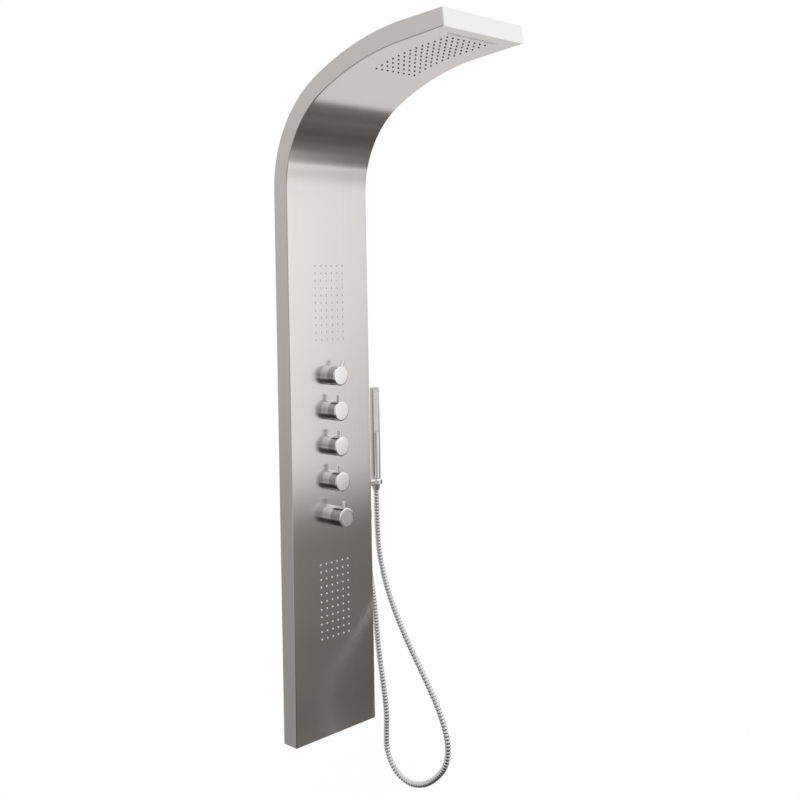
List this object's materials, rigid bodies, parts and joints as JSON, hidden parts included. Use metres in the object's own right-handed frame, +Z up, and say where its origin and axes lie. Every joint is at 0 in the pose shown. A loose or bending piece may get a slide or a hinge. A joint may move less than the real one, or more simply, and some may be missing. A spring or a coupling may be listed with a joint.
{
  "type": "shower panel column",
  "caption": "Wall-hung shower column of folded steel with an arched rain head, body jets, knobs, a stick handset in a side holder and a hose.",
  "frame": {"origin": "centre of the screw pattern of the upper wall bracket, in the wall plane", "axes": "+Z up along the column, +Y into the wall, +X towards the handset's side; the user stands at -Y"},
  "size_m": [0.304, 0.5178, 1.7156],
  "materials": {
    "brushed_panel": "long-grain brushed stainless steel",
    "bracket_steel": "mill-finish stainless sheet",
    "chrome": "polished chrome plate",
    "hose_metal": "chromed interlocked metal hose",
    "silicone": "matt silicone",
    "box_plastic": "moulded plastic",
    "inner_hose": "steel-braided rubber hose",
    "brass": "bare cast and machined brass",
    "bolt_steel": "zinc-plated steel",
    "spray_plastic": "pale moulded plastic with silicone tips"
  },
  "bodies": {
    "root": {"arm_cover": "brushed_panel", "bottom_cap": "box_plastic", "cold_inlet_nipple": "brass", "front_panel": "brushed_panel", "handset_feed_hose": "inner_hose", "handset_holder": "chrome", "head_end_cap": "chrome", "holder_bolt": "bolt_steel", "hose_end_nut": "chrome", "hot_inlet_nipple": "brass", "inlet_check_valves": "box_plastic", "lower_hanger_bar": "bracket_steel", "lower_jet_box": "box_plastic", "lower_jet_hose": "inner_hose", "lower_jet_mat": "silicone", "lower_wall_bracket": "bracket_steel", "outlet_elbow": "chrome", "outlet_lock_nut": "brass", "rain_box": "box_plastic", "rain_hose": "inner_hose", "rain_nozzle_mat": "silicone", "shower_hose": "hose_metal", "thermostat_sleeve": "chrome", "thermostatic_cartridge": "brass", "upper_hanger_bar": "bracket_steel", "upper_jet_box": "box_plastic", "upper_jet_hose": "inner_hose", "upper_jet_mat": "silicone", "upper_wall_bracket": "bracket_steel", "valve_lock_nuts": "brass", "valve_manifold": "brass", "volume_cartridges": "brass", "volume_sleeves": "chrome", "waterfall_hose": "inner_hose", "waterfall_spout": "box_plastic"},
    "knob_1": {"knob_1_cap": "chrome", "knob_1_peg": "chrome", "knob_1_spindle": "brass"},
    "knob_2": {"knob_2_cap": "chrome", "knob_2_peg": "chrome", "knob_2_spindle": "brass"},
    "knob_3": {"knob_3_cap": "chrome", "knob_3_peg": "chrome", "knob_3_spindle": "brass"},
    "knob_4": {"knob_4_cap": "chrome", "knob_4_peg": "chrome", "knob_4_spindle": "brass"},
    "thermostat": {"thermostat_cap": "chrome", "thermostat_peg": "chrome", "thermostat_spindle": "brass"},
    "handset": {"handset_body": "chrome", "handset_spray_plate": "spray_plastic", "hose_cone_nut": "chrome"}
  },
  "joints": [
    {"name": "knob_1_turn", "type": "hinge", "parent": "root", "child": "knob_1", "pos_m": [0, -0.065, -0.324], "axis": [0, 1, 0], "range_deg": [-25, 65]},
    {"name": "knob_2_turn", "type": "hinge", "parent": "root", "child": "knob_2", "pos_m": [0, -0.065, -0.405], "axis": [0, 1, 0], "range_deg": [0, 90]},
    {"name": "knob_3_turn", "type": "hinge", "parent": "root", "child": "knob_3", "pos_m": [0, -0.065, -0.486], "axis": [0, 1, 0], "range_deg": [0, 90]},
    {"name": "knob_4_turn", "type": "hinge", "parent": "root", "child": "knob_4", "pos_m": [0, -0.065, -0.567], "axis": [0, 1, 0], "range_deg": [0, 90]},
    {"name": "thermostat_turn", "type": "hinge", "parent": "root", "child": "thermostat", "pos_m": [0, -0.07, -0.648], "axis": [0, 1, 0], "range_deg": [-150, 60]},
    {"name": "handset_lift", "type": "slide", "parent": "root", "child": "handset", "axis": [0, 0, 1], "range_m": [0, 0.05]}
  ]
}
